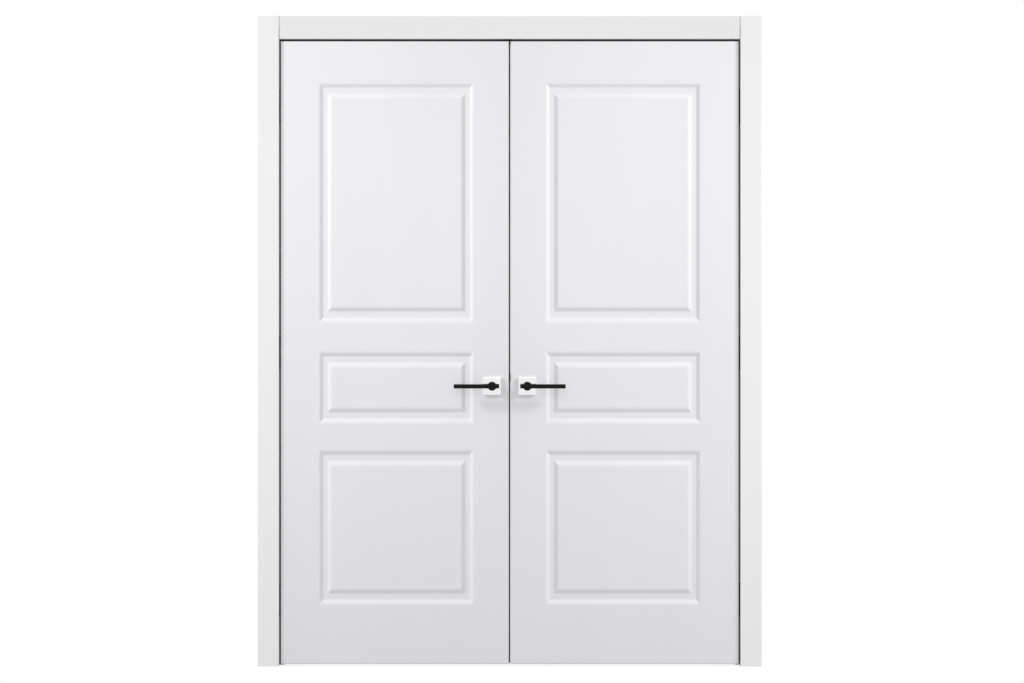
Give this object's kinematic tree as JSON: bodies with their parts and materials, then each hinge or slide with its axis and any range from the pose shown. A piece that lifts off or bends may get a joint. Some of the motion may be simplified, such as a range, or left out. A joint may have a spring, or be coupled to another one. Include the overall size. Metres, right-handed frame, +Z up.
{
  "type": "interior double door",
  "caption": "White interior double door with raised-panel leaves on concealed hinges, bar levers on square plates, and a lined frame with flat casings.",
  "frame": {"origin": "middle of the object's bounding box at floor level", "axes": "+Z up, +X to the right seen from the front, -Y towards the viewer, the side the leaves open to"},
  "size_m": [1.644, 0.186, 2.12],
  "materials": {
    "white_leaf": "white satin paint",
    "white_frame": "white satin paint",
    "black_seal": "matte",
    "grey_hinge": "satin dark grey",
    "chrome_trim": "polished",
    "black_lever": "satin black",
    "black_plate": "satin black",
    "steel": "brushed"
  },
  "bodies": {
    "frame": {"left_jamb": "white_frame", "right_jamb": "white_frame", "head_jamb": "white_frame", "left_stop": "white_frame", "right_stop": "white_frame", "head_stop": "white_frame", "stop_seals": "black_seal", "front_left_casing": "white_frame", "front_right_casing": "white_frame", "front_head_casing": "white_frame", "back_left_casing": "white_frame", "back_right_casing": "white_frame", "back_head_casing": "white_frame", "left_frame_hinge_cups": "grey_hinge", "right_frame_hinge_cups": "grey_hinge", "left_frame_hinge_pins": "grey_hinge", "right_frame_hinge_pins": "grey_hinge", "frame_hinge_screws": "grey_hinge", "head_bolt_keeper": "black_plate"},
    "left_arms": {"left_hinge_arms": "grey_hinge"},
    "right_arms": {"right_hinge_arms": "grey_hinge"},
    "left_leaf": {"left_leaf": "white_leaf", "left_leaf_hinge_cups": "grey_hinge", "left_leaf_hinge_pins": "grey_hinge", "left_leaf_hinge_screws": "grey_hinge", "meeting_seal": "black_seal", "latch_keeper": "black_plate", "latch_keeper_screws": "black_plate", "top_bolt_plate": "black_plate", "bottom_bolt_plate": "black_plate", "bolt_plate_screws": "black_plate", "left_front_rosette": "chrome_trim", "left_back_rosette": "chrome_trim", "left_rosette_bases": "steel", "left_rosette_screws": "steel"},
    "right_leaf": {"right_leaf": "white_leaf", "right_leaf_hinge_cups": "grey_hinge", "right_leaf_hinge_pins": "grey_hinge", "right_leaf_hinge_screws": "grey_hinge", "lock_case": "steel", "lock_faceplate": "black_plate", "lock_faceplate_screws": "black_plate", "right_front_rosette": "chrome_trim", "right_back_rosette": "chrome_trim", "right_rosette_bases": "steel", "right_rosette_screws": "steel"},
    "left_lever_set": {"left_front_lever": "black_lever", "left_back_lever": "black_lever", "left_grub_screws": "black_lever", "left_spindle": "steel"},
    "right_lever_set": {"right_front_lever": "black_lever", "right_back_lever": "black_lever", "right_grub_screws": "black_lever", "right_spindle": "steel", "lock_follower": "steel"},
    "latch": {"latch_bolt": "black_plate"},
    "top_bolt": {"top_bolt": "steel"},
    "bottom_bolt": {"bottom_bolt": "steel"}
  },
  "joints": [
    {"name": "left_door_swing", "type": "hinge", "parent": "frame", "child": "left_arms", "pos_m": [-0.774, -0.024, 0], "axis": [0, 0, -1], "range_deg": [0, 55]},
    {"name": "left_leaf_turn", "type": "hinge", "parent": "left_arms", "child": "left_leaf", "pos_m": [-0.725, -0.024, 0], "axis": [0, 0, -1], "range_deg": [0, 55]},
    {"name": "right_door_swing", "type": "hinge", "parent": "frame", "child": "right_arms", "pos_m": [0.774, -0.024, 0], "axis": [0, 0, 1], "range_deg": [0, 55]},
    {"name": "right_leaf_turn", "type": "hinge", "parent": "right_arms", "child": "right_leaf", "pos_m": [0.725, -0.024, 0], "axis": [0, 0, 1], "range_deg": [0, 55]},
    {"name": "left_lever_turn", "type": "hinge", "parent": "left_leaf", "child": "left_lever_set", "pos_m": [-0.0575, -0.013, 0.913], "axis": [0, -1, 0], "range_deg": [0, 40], "stiffness_Nm_per_rad": 1.5, "springref_deg": -28.65},
    {"name": "right_lever_turn", "type": "hinge", "parent": "right_leaf", "child": "right_lever_set", "pos_m": [0.0575, -0.013, 0.913], "axis": [0, 1, 0], "range_deg": [0, 40], "stiffness_Nm_per_rad": 1.5, "springref_deg": -28.65},
    {"name": "latch_slide", "type": "slide", "parent": "right_leaf", "child": "latch", "axis": [1, 0, 0], "range_m": [0, 0.014]},
    {"name": "top_bolt_slide", "type": "slide", "parent": "left_leaf", "child": "top_bolt", "axis": [0, 0, 1], "range_m": [0, 0.02]},
    {"name": "bottom_bolt_slide", "type": "slide", "parent": "left_leaf", "child": "bottom_bolt", "axis": [0, 0, -1], "range_m": [0, 0.02]}
  ],
  "couplings": [
    {"joint": "left_leaf_turn", "follows": "left_door_swing", "ratio": 1},
    {"joint": "right_leaf_turn", "follows": "right_door_swing", "ratio": 1},
    {"joint": "latch_slide", "follows": "right_lever_turn", "m_per_rad": 0.02005}
  ]
}
